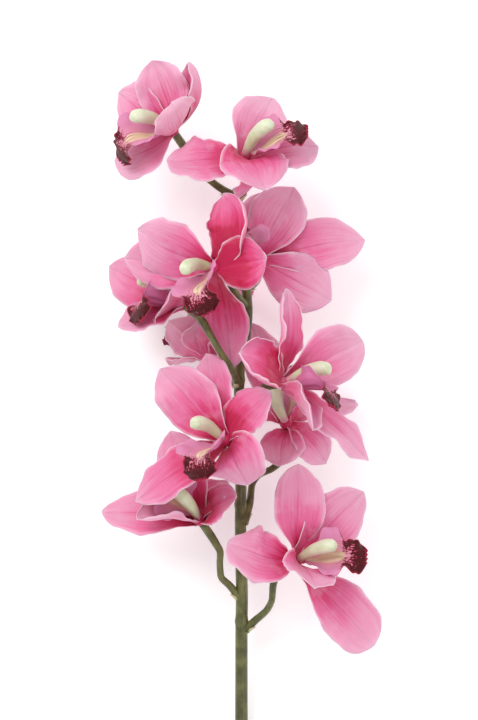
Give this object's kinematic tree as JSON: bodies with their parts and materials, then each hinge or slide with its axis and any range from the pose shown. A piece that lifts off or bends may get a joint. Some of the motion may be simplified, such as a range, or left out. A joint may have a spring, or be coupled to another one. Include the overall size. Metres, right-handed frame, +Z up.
{
  "type": "cut orchid stem",
  "caption": "Cut cymbidium orchid stem lying on a flat surface, with open pink blooms, spotted dark lips and pale columns along an arching green stalk.",
  "frame": {"origin": "middle of the bounding box on the surface that the stem lies on", "axes": "+Y along the stem from its cut end to its tip, +Z up from the surface, +X to the right seen from above with the tip away from the viewer"},
  "size_m": [0.1692, 0.4718, 0.1177],
  "materials": {
    "petal": "soft satin petal, paler towards its edge, with fine darker veins",
    "lip": "velvety lip with dark wine blotches and a magenta rim",
    "column": "waxy cream",
    "stem": "waxy olive green, browner towards the cut end"
  },
  "bodies": {
    "root": {"stem": "stem", "bloom_a_tepals": "petal", "bloom_a_lip": "lip", "bloom_a_column": "column", "bloom_b_tepals": "petal", "bloom_b_lip": "lip", "bloom_b_column": "column", "bloom_c_tepals": "petal", "bloom_c_lip": "lip", "bloom_c_column": "column", "bloom_d_tepals": "petal", "bloom_d_lip": "lip", "bloom_d_column": "column", "bloom_e_tepals": "petal", "bloom_e_lip": "lip", "bloom_e_column": "column", "bloom_f_tepals": "petal", "bloom_f_lip": "lip", "bloom_f_column": "column", "bloom_g_tepals": "petal", "bloom_g_lip": "lip", "bloom_g_column": "column", "bloom_h_tepals": "petal", "bloom_h_lip": "lip", "bloom_h_column": "column", "bloom_i_tepals": "petal", "bloom_i_lip": "lip", "bloom_i_column": "column", "bloom_j_tepals": "petal", "bloom_j_lip": "lip", "bloom_j_column": "column", "bloom_k_tepals": "petal", "bloom_k_lip": "lip", "bloom_k_column": "column"}
  },
  "joints": []
}
